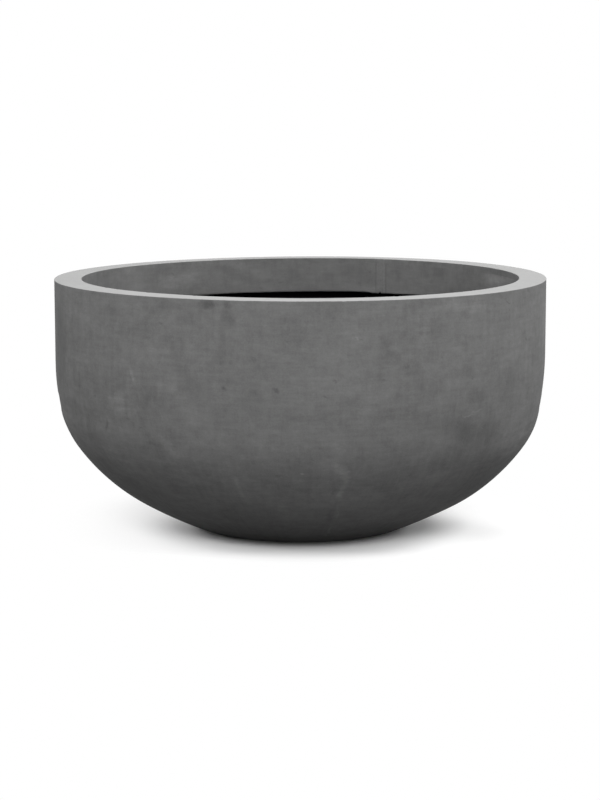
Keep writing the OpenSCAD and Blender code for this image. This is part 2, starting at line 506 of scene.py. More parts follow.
def bowl_rows(bowl, band):
    """The bowl's whole section, from the rim's inner arris over the outside and back up inside."""
    side = Side(bowl)
    top, arris, outer_r, recess_z = bowl.body_h, bowl.arris_r, bowl.outer_r, bowl.recess_h
    mouth_r = BAND_HIGH.x - band.thickness
    rim_in, rim_out = mouth_r + arris, outer_r - arris
    beside = 0.004
    # Below the outer arris the rows open out in three stages
    fine_low, medium_high, medium_low, wall_high = (top - drop for drop in (0.0065, 0.009, 0.016, 0.021))
    outside = side.points(0, 0, bowl.edge_r, WALL_STEP, 0.0022)
    inside = side.points(bowl.wall_t, bowl.floor_t, bowl.cove_r, HIDDEN_STEP, CORNER_STEP)
    foot_r = outside[-1][0]
    recess_r = foot_r - bowl.foot_w
    recess_top_r = recess_r - bowl.recess_slope
    drain_r = bowl.drain_d / 2
    chamfer_z = recess_z + bowl.drain_chamfer
    coat_top = COAT_HIGH.z
    fillet = top - bowl.rim_t - coat_top
    wall_in = outer_r - bowl.wall_t
    ledge = coat_top + fillet
    return join(
        (FINE,
         arc(rim_in, top - arris, arris, math.pi, QUARTER, ARRIS_STEP),
         line((rim_in, top), (rim_in + beside, top), WORN_STEP),
         line((rim_in + beside, top), (rim_out - beside, top), RIM_STEP),
         line((rim_out - beside, top), (rim_out, top), WORN_STEP),
         arc(rim_out, top - arris, arris, QUARTER, 0, ARRIS_STEP),
         line((outer_r, top - arris), (outer_r, fine_low), 0.0015)),
        (MEDIUM, line((outer_r, medium_high), (outer_r, medium_low), 0.0035)),
        (WALL,
         line((outer_r, wall_high), outside[0], WALL_STEP),
         outside,
         line((foot_r, 0), (recess_r, 0), 0.007),
         line((recess_r, 0), (recess_top_r, recess_z), 0.002)),
        (COARSE,
         line((recess_top_r - 0.004, recess_z), (drain_r + 0.006, recess_z), CORNER_STEP),
         [(drain_r + bowl.drain_chamfer, recess_z), (drain_r, chamfer_z)],
         line((drain_r, chamfer_z), (drain_r, bowl.floor_t), 0.004),
         line((drain_r, bowl.floor_t), inside[-1], HIDDEN_STEP),
         inside[::-1],
         line(inside[0], (wall_in, coat_top), HIDDEN_STEP),
         arc(wall_in - fillet, coat_top, fillet, 0, QUARTER, 0.004),
         line((wall_in - fillet, ledge), (mouth_r + 0.006, ledge), 0.012)),
        # Beside the lip the rows close up again
        (WALL, [(mouth_r + 0.004, ledge)]),
        (MEDIUM, [(mouth_r + 0.002, ledge)]),
        (FINE, line((mouth_r, ledge), (mouth_r, top - arris), 0.0026)),
    )


def swell(bowl, theta, height):
    """How far the hand-laid wall stands out: low down towards +X, and at the shoulder towards -X."""
    right = np.maximum(np.cos(theta), 0) ** 2 * ramp(height, 0.02, 0.07) * ramp(-height, -0.26, -0.18)
    left = np.maximum(-np.cos(theta), 0) ** 2 * ramp(height, 0.18, 0.22) * ramp(-height, -0.33, -0.27)
    return bowl.bulge * (right + 0.6 * left)


def bowl_form(bowl, band):
    """The hand-made unevenness of the bowl's skin: slow waves, dimples, worn arrises and nicks."""
    rng = np.random.default_rng(bowl.nick_seed)
    mouth_r = BAND_HIGH.x - band.thickness
    inset = 0.0005
    near = 0.001
    worn_depth = 0.012
    nicks = [Nicks(rng, bowl.nick_count, radius, bowl.body_h - inset, bowl.nick)
             for radius in (bowl.outer_r - inset, mouth_r + inset)]
    joint_z = BAND_HIGH.z

    def press(row, radius, height):
        """Presses in the faces that show; the hidden ones keep their plain shape."""
        outside = radius > bowl.outer_r - bowl.wall_t / 2 or row.normal[1] < -0.2 and height < 0.36
        lip = abs(radius - mouth_r) < 0.004 and height > joint_z - near
        under = height < bowl.floor_t and radius < bowl.outer_r / 2
        hidden = not (outside or lip or height > bowl.body_h - near or under)
        if hidden or radius < bowl.drain_d:
            return
        points = row.points()
        depth = waves(bowl, points)
        if outside:
            depth = depth - swell(bowl, row.theta, height)
        if lip:
            depth = depth * beside_joint(band, row.theta)
        if lip and height < joint_z + near:
            row.normal = (-1, 0)
        if under and height < near:
            depth = depth * 0.4
        if height > bowl.body_h - worn_depth:
            corner = abs(row.normal[0]) * abs(row.normal[1]) * 2
            depth = depth + 0.0003 * corner * (0.5 + 0.5 * lumps(points, 0.013, 3))
            depth = depth + nicks[0].depth_at(row) + nicks[1].depth_at(row)
        row.press(depth)

    def form(row):
        radius, height = row.radius[0], row.height[0]
        press(row, radius, height)
        settle(bowl, row, sag_share(height))

    return form


def build_bowl(planter):
    """The moulded bowl, from its rim to its foot."""
    bowl, band = planter.bowl, planter.band
    mesh = revolve("bowl_skin", bowl_rows(bowl, band), bowl_form(bowl, band))
    material = cement_finish("Bowl cement", planter.finish, marks=WALL_MARKS)
    add_piece(mesh, material, "planter", "bowl_shell")


# The band behind the rim

def band_edge_lift(band, theta):
    """How far the band's lower edge stands above its plain level, at each angle."""
    run = turn(theta, band.joint_a) * BAND_HIGH.x
    points = np.stack([np.cos(theta), np.sin(theta), np.zeros(theta.shape)], axis=1) * BAND_HIGH.x
    wander = lumps(points, 0.045, 5)
    small = lumps(points, 0.011, 6)
    cut = band.step_run + 0.0012 * lumps(points, 0.004, 8)
    left = ramp(run, cut - 0.0020, cut + 0.0020) * ramp(-run, -0.25, -0.05)
    hollow = 1 - ramp(np.abs(run + 0.005), 0.015, 0.075)
    return band.step * (left - 0.54 * hollow) - band.hang + 0.0003 * wander + 0.00015 * small


def build_band(planter):
    """The band behind the rim, open at its joint, with its uneven lower edge."""
    bowl, band = planter.bowl, planter.band
    mouth_r, back_r = BAND_HIGH.x - band.thickness, BAND_HIGH.x
    low, high = BAND_LOW.z, BAND_HIGH.z
    edge = band.edge_r
    edge_zone = 0.022
    rows = join(
        (MEDIUM,
         line((mouth_r, high), (mouth_r, low + edge), BAND_STEP)[::-1],
         line((mouth_r, high), (back_r, high), 0.0045),
         line((back_r, high), (back_r, low + edge), 2 * BAND_STEP),
         arc(back_r - edge, low + edge, edge, 0, -QUARTER, ROUND_STEP),
         arc(mouth_r + edge, low + edge, edge, -QUARTER, -math.pi, ROUND_STEP)[:-1]),
    )

    def form(row):
        radius, height = row.radius[0], row.height[0]
        if radius < mouth_r + edge:
            row.normal = (-1, 0)
            row.press(waves(bowl, row.points()) * beside_joint(band, row.theta))
        weight = ramp(low + edge_zone - height, 0, edge_zone)
        row.height = row.height + weight * band_edge_lift(band, row.theta)
        settle(bowl, row)

    half_gap = band.joint_gap / 2 / back_r
    mesh = revolve("rim_band", rows, form=form, start=band.joint_a + half_gap, sweep=TAU - 2 * half_gap)
    material = cement_finish("Band cement", planter.finish, marks=BAND_MARKS, face=band_face_at,
                             trowel=0.8, fine=0.7, seam=True, lapped=True)
    add_piece(mesh, material, "planter", "inner_band")


# The trowelled strip over the band's joint

def strip_thickness(band, across, up, place):
    """Thickness of the strip's face: feathered out at its sides, with a low ridge beside them."""
    ragged = lumps(place, 0.0035, 11)
    coarse = lumps(place, 0.010, 12)
    inward = 1 - np.abs(across) / (band.strip_w / 2)
    feather = ramp(inward, 0, 0.30)
    ridge = np.exp(-((inward - 0.16) / 0.07) ** 2)
    share = 0.06 + 0.34 * feather + 0.10 * coarse + 0.10 * ragged + 0.12 * ridge
    bottom = ramp(up, STRIP_LOW.z, STRIP_LOW.z + 0.0035)
    top = ramp(STRIP_HIGH.z - up, 0, 0.004)
    return band.strip_t * np.clip(share, 0.03, 1) * (0.35 + 0.65 * bottom) * (0.3 + 0.7 * top)


def strip_lift(band, across, up, place):
    """How far the crumbled and notched foot of the strip stands above its plain level."""
    foot_zone = 0.008
    crumb = 0.0006 * lumps(place * (1, 1, 0), 0.0024, 14)
    notch = 0.0018 * np.exp(-((across + 0.0015) / 0.0016) ** 2)
    return (0.0038 - band.hang + crumb + notch) * ramp(STRIP_LOW.z + foot_zone - up, 0, foot_zone)


def strip_faces(across, up, shape):
    """Faces of the strip: its face and back, its two sides, and its lower and upper end."""
    front = np.arange(across.size).reshape(shape)
    sheets = np.stack([front, front + across.size])
    u = (across / (2 * across.max()) + 0.5).reshape(shape) * 0.22 + 0.01
    v = ((up - up.min()) / np.ptp(up)).reshape(shape) * 0.9 + 0.03
    # Each face of the strip has an area of its own in the bake map
    faces = grid_faces(sheets[0], u, v) + grid_faces(sheets[1], u + 0.3, v)
    for column, place in ((0, 0.62), (-1, 0.67)):
        faces += grid_faces(sheets[:, :, column].T, (place, place + 0.02), v[:, :1])
    run = 0.3 * np.arange(shape[1]) / shape[1]
    for row, place in ((0, 0.05), (-1, 0.45)):
        faces += grid_faces(sheets[:, row], ((0.80,), (0.83,)), run + place)
    return faces


def build_strip(planter):
    """The strip over the band's joint, with the web that fills the joint behind it."""
    bowl, band = planter.bowl, planter.band
    mouth_r = BAND_HIGH.x - band.thickness
    web = band.joint_gap / 2
    crease = 0.00004
    side = np.linspace(-band.strip_w / 2, -web, 14)
    middle = np.linspace(-web + 2 * crease, web - 2 * crease, 7)
    columns = np.concatenate([side, middle, -side[::-1]])
    foot = np.linspace(STRIP_LOW.z, BAND_LOW.z, 5)[:-1]
    rows = np.concatenate([foot, np.linspace(BAND_LOW.z, STRIP_HIGH.z, 70)])
    across, up = (grid.ravel() for grid in np.meshgrid(columns, rows))
    place = np.stack([across, np.zeros(across.size), up], axis=1)
    height = up + strip_lift(band, across, up, place)
    edge_line = 0.0009 * lumps(place * (0.2, 1, 1), 0.008, 13)
    theta = band.joint_a + (across + edge_line * (np.abs(across) > web + 0.001)) / mouth_r
    on_web = (np.abs(across) < web - crease) & (up > BAND_LOW.z + TINY) & (up < BAND_HIGH.z - TINY)
    back = np.where(on_web, BAND_HIGH.x, mouth_r)
    sheets = []
    for radius in (mouth_r - strip_thickness(band, across, up, place), back):
        row = Row(theta, radius, height, (0, 0))
        settle(bowl, row)
        sheets.append(row.points())
    faces = strip_faces(across, up, (len(rows), len(columns)))
    mesh = to_mesh("joint_strip", np.concatenate(sheets), faces)
    material = cement_finish("Strip cement", planter.finish, trowel=0.5, fine=0.7, seam=True)
    add_piece(mesh, material, "planter", "band_joint_strip")


# The black coat inside

class Drips:
    """Runs of the coat down the wall, at random places round it. Each ends in a thicker bead."""

    def __init__(self, coat):
        rng = np.random.default_rng(coat.drip_seed)
        self.theta = rng.uniform(0, TAU, coat.drip_count)
        self.top = rng.uniform(0.12, 0.40, coat.drip_count)
        self.low = np.maximum(self.top - rng.uniform(0.03, 0.13, coat.drip_count), 0.035)
        self.width = rng.uniform(0.004, 0.009, coat.drip_count)
        self.out = coat.drip * 0.5

    def out_at(self, theta, radius, height):
        """How far the drips stand out at each angle of a level row."""
        total = 0
        bead_z = 0.006
        for middle, top, low, width in zip(self.theta, self.top, self.low, self.width):
            away = turn(theta, middle) * radius
            down = ramp(top - height, 0, 0.02) * ramp(height - low, 0, 0.005)
            bead = 1 + 0.8 * math.exp(-((height - low - bead_z) / bead_z) ** 2)
            total = total + self.out * down * bead * np.exp(-(away / width) ** 2)
        return total


def build_coat(planter):
    """The coat on the inside of the shell, with its brush ridges and drips."""
    bowl, coat = planter.bowl, planter.coat
    side = Side(bowl)
    wall_in = bowl.outer_r - bowl.wall_t
    face_r = wall_in - coat.thickness
    seat_z = bowl.floor_t + coat.thickness
    top = COAT_HIGH.z
    drain_r = bowl.drain_d / 2
    # The coat stays flat under the stopper's flange
    flat_r = STOPPER_HIGH.x + 0.002
    back = side.points(bowl.wall_t, bowl.floor_t, bowl.cove_r, HIDDEN_STEP, CORNER_STEP)
    face = side.points(bowl.wall_t + coat.thickness, seat_z, bowl.cove_r - coat.thickness, COAT_STEP, 0.0040)
    rows = join(
        (WALL,
         line((wall_in, top), back[0], HIDDEN_STEP),
         back,
         line(back[-1], (drain_r, bowl.floor_t), HIDDEN_STEP),
         line((drain_r, seat_z), (flat_r, seat_z), 0.003),
         line((flat_r, seat_z), face[-1], CORNER_STEP),
         face[::-1],
         line(face[0], (face_r, top), COAT_STEP)),
    )
    drips = Drips(coat)

    def form(row):
        radius, height = row.radius[0], row.height[0]
        on_face = row.normal[0] <= 0.1 and height >= seat_z - TINY
        if on_face and radius >= flat_r:
            points = row.points()
            strokes = lumps(points * (0.35, 0.35, 1), 0.012, 21) + lumps(points, 0.09, 22)
            out = coat.ridge * strokes + drips.out_at(row.theta, radius, height)
            row.press(-out * min(1.0, (radius - flat_r) / 0.01))
        settle(bowl, row, sag_share(height))

    mesh = revolve("coat_skin", rows, form=form)
    add_piece(mesh, coat_finish(planter.finish), "planter", "sealing_coat")


# The rubber stopper

def stopper_rows(bowl, stopper, seat_z):
    """The stopper's section, from the roof of its hollow stem down, round and up over the grip."""
    soft = SOFT_R
    low, top = STOPPER_LOW.z, STOPPER_HIGH.z
    stem_r = bowl.drain_d / 2 - stopper.stem_clear
    tip_r = stem_r - stopper.stem_taper
    bore_r = stem_r - stopper.stem_wall
    flange_r = STOPPER_HIGH.x
    edge_z = seat_z + stopper.flange_edge_t
    taper_z = low + stopper.taper_h
    fillet = stopper.fillet_r
    neck_x = stopper.neck_d / 2 + fillet
    neck_z = seat_z + stopper.flange_t + fillet
    head_low = top - stopper.head_t
    head_round = stopper.head_t / 2
    head_x = (stopper.head_d - stopper.head_t) / 2
    return join(
        (COARSE,
         [(0, seat_z)],
         line((0.002, seat_z), (bore_r, seat_z), STOPPER_STEP),
         line((bore_r, seat_z), (bore_r, low + soft), 0.003),
         arc(bore_r + soft, low + soft, soft, math.pi, 3 * QUARTER, MOULD_STEP),
         arc(tip_r - soft, low + soft, soft, -QUARTER, -0.2, MOULD_STEP),
         line((tip_r, low + soft), (stem_r, taper_z), STOPPER_STEP),
         line((stem_r, taper_z), (stem_r, seat_z), 0.003),
         line((stem_r, seat_z), (flange_r - soft, seat_z), STOPPER_STEP),
         arc(flange_r - soft, seat_z + soft, soft, -QUARTER, 0, MOULD_STEP),
         arc(flange_r - soft, edge_z - soft, soft, 0, QUARTER * 0.8, MOULD_STEP),
         line((flange_r - 2 * soft, edge_z + 0.3 * soft), (neck_x, neck_z - fillet), 0.0014),
         arc(neck_x, neck_z, fillet, -QUARTER, -math.pi, GRIP_STEP),
         arc(neck_x, head_low - fillet, fillet, math.pi, QUARTER, GRIP_STEP),
         arc(head_x, head_low + head_round, head_round, -QUARTER, QUARTER, GRIP_STEP),
         line((head_x, top), (0.0012, top), STOPPER_STEP),
         [(0, top)]),
    )


def build_stopper(planter):
    """The stopper, with its mould lines, a dished head and a slightly worn skin."""
    bowl, stopper = planter.bowl, planter.stopper
    seat_z = bowl.floor_t + planter.coat.thickness
    top = STOPPER_HIGH.z
    seam_place, seam_half = 0.6, 0.00035

    def form(row):
        radius, height = row.radius[0], row.height[0]
        if height < seat_z + 0.0002:
            return
        from_seam = np.abs(turn(2 * row.theta, seam_place)) / 2 * max(radius, 0.004)
        seam = np.exp(-(from_seam / seam_half) ** 2)
        dished = 0.0009 * math.exp(-(radius / 0.005) ** 2) * (height > top - 0.0004)
        worn = 0.00012 * (0.5 + 0.5 * lumps(row.points(), 0.006, 31))
        row.press(STOPPER_SKIN + dished + worn - 0.00016 * seam * (dished == 0))

    rows = stopper_rows(bowl, stopper, seat_z)
    mesh = revolve("stopper_rubber", rows[::-1], form=form, closed=False)
    add_piece(mesh, rubber_finish(planter.finish), "stopper", "drain_stopper")


# Materials

class Wire:
    """A number that varies over a surface. Arithmetic on it adds Math nodes."""

    def __init__(self, finish, socket):
        self.finish = finish
        self.socket = socket

    def _math(self, operation, first, second):
        return self.finish.wire("Math", {"operation": operation}, {0: first, 1: second})

    def __add__(self, other):
        return self._math("ADD", self, other)

    def __radd__(self, other):
        return self._math("ADD", other, self)

    def __sub__(self, other):
        return self._math("SUBTRACT", self, other)

    def __rsub__(self, other):
        return self._math("SUBTRACT", other, self)

    def __mul__(self, other):
        return self._math("MULTIPLY", self, other)

    def __rmul__(self, other):
        return self._math("MULTIPLY", other, self)


class Finish:
    """A material or a world while it is built: its nodes, and the fields that its patterns come from."""

    def __init__(self, owner):
        self.owner = owner
        owner.use_nodes = True
        self.tree = owner.node_tree
        self.tree.nodes.clear()

    def node(self, kind, options=None, sockets=None):
        """Adds a node: its settings first, then the values or links of its sockets."""
        node = self.tree.nodes.new("ShaderNode" + kind)
        for name, value in (options or {}).items():
            setattr(node, name, value)
        for name, value in (sockets or {}).items():
            if isinstance(value, Wire):
                value = value.socket
            if isinstance(value, bpy.types.NodeSocket):
                self.tree.links.new(value, node.inputs[name])
            else:
                node.inputs[name].default_value = value
        return node

    def wire(self, kind, options=None, sockets=None, output=0):
        """Adds a node and returns one of its outputs as a number to calculate with."""
        return Wire(self, self.node(kind, options, sockets).outputs[output])

    def vector(self, operation, first, second=(0, 0, 0)):
        """A vector from two vectors."""
        return self.node("VectorMath", {"operation": operation}, {0: first, 1: second}).outputs["Vector"]

    def measure(self, operation, first, second=(0, 0, 0)):
        """A number from two vectors, such as their distance."""
        return self.wire("VectorMath", {"operation": operation}, {0: first, 1: second}, "Value")

    def along(self, axis, vector):
        """One of the three numbers of a vector or a colour."""
        return self.wire("SeparateXYZ", None, {0: vector}, axis)

    def place(self):
        """The point on the surface, in metres from the bowl's foot."""
        return self.node("TexCoord").outputs["Object"]

    def parts(self, place):
        """Height, distance from the axis, and the point moved level to a fixed distance from the axis."""
        height = self.along("Z", place)
        level = self.vector("MULTIPLY", place, (1, 1, 0))
        around = self.vector("SCALE", self.vector("NORMALIZE", level))
        around.node.inputs["Scale"].default_value = SHELL_HIGH.x
        upright = self.node("CombineXYZ", None, {"Z": height}).outputs[0]
        return height, self.measure("LENGTH", level), self.vector("ADD", around, upright)

    def units(self, place, size, shift):
        """The place counted in lumps of a size, one number or one each for X, Y and Z, and shifted."""
        sizes = size if isinstance(size, tuple) else (size, size, size)
        return self.vector("ADD", self.vector("DIVIDE", place, sizes), shift)

    def field(self, place, size, detail=2.0, roughness=0.5, shift=(0, 0, 0), distortion=0.0):
        """Noise from about -1 to 1, with lumps of the given size."""
        sockets = {"Vector": self.units(place, size, shift), "Scale": 1.0, "Detail": detail,
                   "Roughness": roughness, "Distortion": distortion}
        return self.wire("TexNoise", {"noise_dimensions": "3D"}, sockets) * 2 - 1

    def step(self, value, low, high):
        """A soft step from 0 at low to 1 at high."""
        sockets = {"Value": value, "From Min": low, "From Max": high, "To Min": 0.0, "To Max": 1.0}
        return self.wire("MapRange", {"interpolation_type": "SMOOTHSTEP"}, sockets)

    def fall(self, value, low, high):
        """A soft step from 1 at low to 0 at high."""
        return 1 - self.step(value, low, high)

    def specks(self, place, size, share, shift=(0, 0, 0)):
        """Small round spots: the share of cells that hold one, each with a soft edge."""
        sockets = {"Vector": self.units(place, size, shift), "Scale": 1.0}
        cell = self.node("TexVoronoi", {"feature": "F1", "voronoi_dimensions": "3D"}, sockets)
        near = self.fall(Wire(self, cell.outputs["Distance"]), 0.12, 0.34)
        return near * self.fall(self.along("X", cell.outputs["Color"]), share, share + 0.01)

    def mark(self, place, mark, face):
        """A soft oval on a turned face, from 0 outside to its strength in the middle."""
        radius, slope = face(mark.height)
        location = (radius * math.cos(mark.angle), radius * math.sin(mark.angle), mark.height)
        facing = Matrix.Rotation(mark.angle - QUARTER, 3, "Z") @ Matrix.Rotation(-slope, 3, "X")
        rotation = (facing @ Matrix.Rotation(mark.lean, 3, "Y")).to_euler()
        sockets = {"Vector": place, "Location": location, "Rotation": rotation,
                   "Scale": (mark.width, MARK_DEPTH, mark.length)}
        local = self.node("Mapping", {"vector_type": "TEXTURE"}, sockets).outputs[0]
        return self.step(self.measure("LENGTH", local), 1.6, 0.3) * mark.strength

    def blend(self, factor, first, second):
        """A colour between two colours."""
        options = {"data_type": "RGBA", "blend_type": "MIX"}
        return self.node("Mix", options, {"Factor": factor, 6: first, 7: second}).outputs[2]

    def tone(self, factor, colour, spread):
        """The colour made darker or lighter by at most spread, as factor goes from -1 to 1."""
        dark = [c * (1 - spread) for c in colour] + [1.0]
        pale = [c * (1 + spread) for c in colour] + [1.0]
        return self.blend(factor * 0.5 + 0.5, dark, pale)

    def relief(self, height):
        """A normal from heights in millimetres."""
        return self.node("Bump", None, {"Strength": 1.0, "Distance": MM, "Height": height}).outputs[0]

    def shader(self, kind, **sockets):
        """A shader, with its sockets set. Underscores stand for the spaces in their names."""
        named = {name.replace("_", " "): value for name, value in sockets.items()}
        return self.node(kind, None, named).outputs[0]

    def between(self, factor, first, second):
        """A shader between two shaders."""
        return self.node("MixShader", None, {0: factor, 1: first, 2: second}).outputs[0]

    def finished(self, shader, output="OutputMaterial"):
        """The material or world, with a shader as its surface."""
        self.node(output, None, {"Surface": shader})
        return self.owner

    def surface(self, **sockets):
        """The material, with the sockets of a Principled shader."""
        return self.finished(self.shader("BsdfPrincipled", **sockets))


def new_material(name):
    return Finish(bpy.data.materials.new(name))


# How far a mark reaches into the wall, so that it meets the uneven face
MARK_DEPTH = 0.03


class Mark:
    """A pale or dark place on a wall: where it is, its half width and half length, its strength."""

    def __init__(self, angle, height, width, length, strength, lean=0):
        self.angle = math.radians(angle)
        self.height = height * MM
        self.width = width * MM
        self.length = length * MM
        self.strength = strength
        self.lean = math.radians(lean)


# Place in degrees from +X, height, half width and half length in millimetres, strength, lean in degrees
WALL_MARKS = [
    # The smear on the belly, and the crease below it painted as light and shade: pale marks on one side,
    # dark marks on the other
    Mark(-79.8, 166, 10, 16, 0.46, lean=28),
    Mark(-82.3, 182, 5, 6, 0.26, lean=29),
    Mark(-80.8, 170, 4.4, 12, 0.30, lean=83),
    Mark(-79.6, 132, 5, 25, 0.30, lean=-11),
    Mark(-80.1, 121, 5, 16, 0.24, lean=-5),
    Mark(-81.6, 109, 4.5, 5, 0.36, lean=-35),
    Mark(-79.4, 86, 1.8, 29, 0.22, lean=9),
    Mark(-79.3, 33, 2.8, 33, 0.40, lean=2),
    Mark(-78.4, 50, 9, 6, 0.20, lean=-65),
    Mark(-81.8, 130, 3.5, 12, -0.30, lean=-10),
    Mark(-81.1, 74, 4.6, 25, -0.32, lean=6),
    Mark(-89.8, 167, 2.3, 3.4, 0.65, lean=-90),
    Mark(-105.1, 136, 3.7, 27, 0.30, lean=0),
    # Pale patches and scratches
    Mark(-120.8, 210, 8, 20, 0.30, lean=45),
    Mark(-119.1, 195, 8, 16, 0.25, lean=81),
    Mark(-49.9, 255, 1.2, 13, 0.50, lean=-84),
    Mark(-47.2, 260, 1.8, 13, 0.42, lean=-88),
    Mark(-29.3, 180, 22, 54, 0.34, lean=66),
    Mark(-24.7, 201, 8, 33, 0.30, lean=72),
    Mark(-129.4, 330, 3.7, 13, 0.42, lean=26),
    Mark(-133.4, 288, 13, 21, 0.24, lean=-84),
    Mark(-78.1, 402, 1.7, 5, 0.34, lean=71),
    # Dark flecks
    Mark(-109.9, 458, 8, 13, -0.70, lean=88),
    Mark(-105.6, 458, 5, 7, -0.35, lean=78),
    Mark(-106.1, 317, 3.6, 5.5, -0.45, lean=66),
    Mark(-95.3, 316, 3.2, 6, -0.48, lean=77),
    Mark(-83.0, 331, 1.7, 3.8, -0.38, lean=63),
    Mark(-139.3, 229, 3.1, 11, -0.45, lean=-14),
    Mark(-37.1, 445, 1.8, 7, -0.45, lean=71),
    # Broad changes of tone
    Mark(-35.7, 304, 25, 36, -0.24, lean=1),
    Mark(-48.2, 286, 13, 22, -0.24, lean=-86),
    Mark(-50.5, 449, 14, 60, 0.30, lean=88),
    Mark(-63.1, 414, 18, 30, 0.20, lean=10),
    Mark(-48.7, 229, 20, 84, -0.38, lean=80),
    Mark(-133.0, 269, 18, 41, 0.28, lean=78),
    Mark(-113.0, 310, 20, 30, -0.34, lean=48),
    Mark(-105.4, 440, 14, 15, -0.42, lean=17),
    Mark(-140.4, 161, 26, 54, 0.20, lean=82),
    Mark(-69.8, 260, 17, 38, 0.14, lean=20),
    Mark(-58.7, 143, 24, 61, 0.20, lean=85),
    Mark(-102.5, 149, 18, 76, 0.10, lean=-89),
    # Painted shade: the wall darkened towards the left edge
    Mark(-162.8, 362, 42, 70, -0.36, lean=-8),
    # Painted highlight: the wall paler towards the right edge, where light grazes it
    Mark(-11.0, 385, 30, 40, 0.28),
    Mark(-66.0, 376, 22, 24, 0.14),
    # Places that the front view doesn't show
    Mark(35.0, 300, 16, 10, 0.30, lean=40),
    Mark(118.0, 190, 12, 16, 0.34, lean=-20),
    Mark(160.0, 360, 5, 22, -0.30, lean=10),
    Mark(72.0, 250, 2, 28, 0.40, lean=70),
]
BAND_MARKS = [
    Mark(126.5, 429, 16, 58, 0.40, lean=88),
    Mark(18.5, 451, 15, 69, 0.60, lean=85),
    Mark(100.4, 435, 18, 38, 0.18, lean=-83),
    Mark(73.4, 434, 18, 37, -0.16, lean=-76),
    Mark(46.5, 452, 13, 18, -0.26, lean=-47),
    Mark(111.1, 441, 10, 43, -0.22, lean=-64),
]


def seam_lines(finish, place, height):
    """Faint upright lines and crumbs where the band's ends were closed, from about -1 to 1."""
    band = settings().band
    along = (-math.sin(band.joint_a), math.cos(band.joint_a), 0)
    wander = finish.field(place, 0.012, 3, 0.6, (5, 9, 1))
    # Distance from the joint in millimetres, a little wandering
    across = finish.measure("DOT_PRODUCT", place, along) * 1000 + wander * 0.7

    def upright(middle, half):
        gap = across - middle
        return finish.fall(gap * gap, 0.0, half * half)

    smears = finish.field(place, (0.006, 0.006, 0.004), 3, 0.6, (2, 2, 8), 0.8)
    broken = finish.step(wander + smears * 0.5, -0.5, 0.3)
    between = upright(-0.5, 9.5) * (0.04 + smears * 0.32)
    edges = upright(-9.8, 2.2) * (0.22 + smears * 0.30) - upright(8.6, 2.8) * 0.24 * broken
    edges = edges - upright(-13.2, 2.4) * 0.20
    low = finish.fall(height, BAND_LOW.z + 0.006, BAND_LOW.z + 0.016)
    return between + edges + upright(10.0, 24.0) * low * smears * 0.45


class CementFields:
    """The patterns that every face of fibre cement shares, each from about -1 or 0 to 1."""

    def __init__(self, finish, place, around):
        sockets = {"Vector": place, "Scale": 60.0, "Detail": 4.0, "Roughness": 0.6}
        wobble = finish.node("TexNoise", None, sockets).outputs["Color"]
        wobble = finish.vector("SUBTRACT", wobble, (0.5, 0.5, 0.5))
        moved = finish.vector("ADD", place, finish.vector("MULTIPLY", wobble, (0.018, 0.018, 0.018)))
        self.moved = moved
        self.cloud = finish.field(place, (0.15, 0.15, 0.12), 3, 0.5)
        self.blotch = finish.field(place, (0.045, 0.045, 0.036), 4, 0.6, (3, 1, 7))
        self.mottle = finish.field(place, (0.014, 0.014, 0.012), 3, 0.6, (9, 4, 2))
        self.speckle = finish.field(place, 0.0032, 2, 0.6, (8, 8, 8))
        self.grain = finish.field(place, 0.0022, 3, 0.6)
        self.level = finish.field(around, (0.050, 0.050, 0.0075), 4, 0.65, (1, 8, 5))
        upright = finish.field(around, (0.010, 0.010, 0.060), 3, 0.6, (6, 2, 4))
        patchy = finish.step(self.blotch + 0.6 * self.cloud, -0.5, 0.7)
        self.tool_marks = self.level * (0.7 + patchy * 0.5) + upright * (0.75 - patchy * 0.5)
        self.pits = finish.specks(moved, (0.020, 0.020, 0.013), 0.06)
        self.pale_specks = finish.specks(moved, 0.010, 0.12, (5, 5, 1))
        scuff_edge = finish.field(around, (0.035, 0.035, 0.012), 5, 0.65, (2, 9, 3), 0.4)
        self.scuffs = finish.step(scuff_edge, 0.30, 0.62) * finish.step(upright + self.level, -0.2, 0.5)

    def shade(self, trowel, fine):
        """Darker and paler places of the wall."""
        shade = self.cloud * 0.36 + self.blotch * 0.42 + self.mottle * (0.28 * fine)
        shade = shade + self.tool_marks * (0.34 * trowel)
        shade = shade + self.speckle * (0.16 * fine) + self.grain * (0.22 * fine)
        return shade + self.scuffs * 0.16 - self.pits * 0.16 + self.pale_specks * 0.08

    def rubbed(self):
        """Darker and paler places of the rubbed rim."""
        shade = self.cloud * 0.35 + self.blotch * 0.30 + self.mottle * 0.2
        return shade + self.speckle * 0.35 - self.pits * 0.3

    def height(self):
        """Heights of the surface in millimetres."""
        height = self.grain * 0.030 + self.mottle * 0.05 + self.tool_marks * 0.035
        return height - self.pits * 0.25 + self.speckle * 0.012


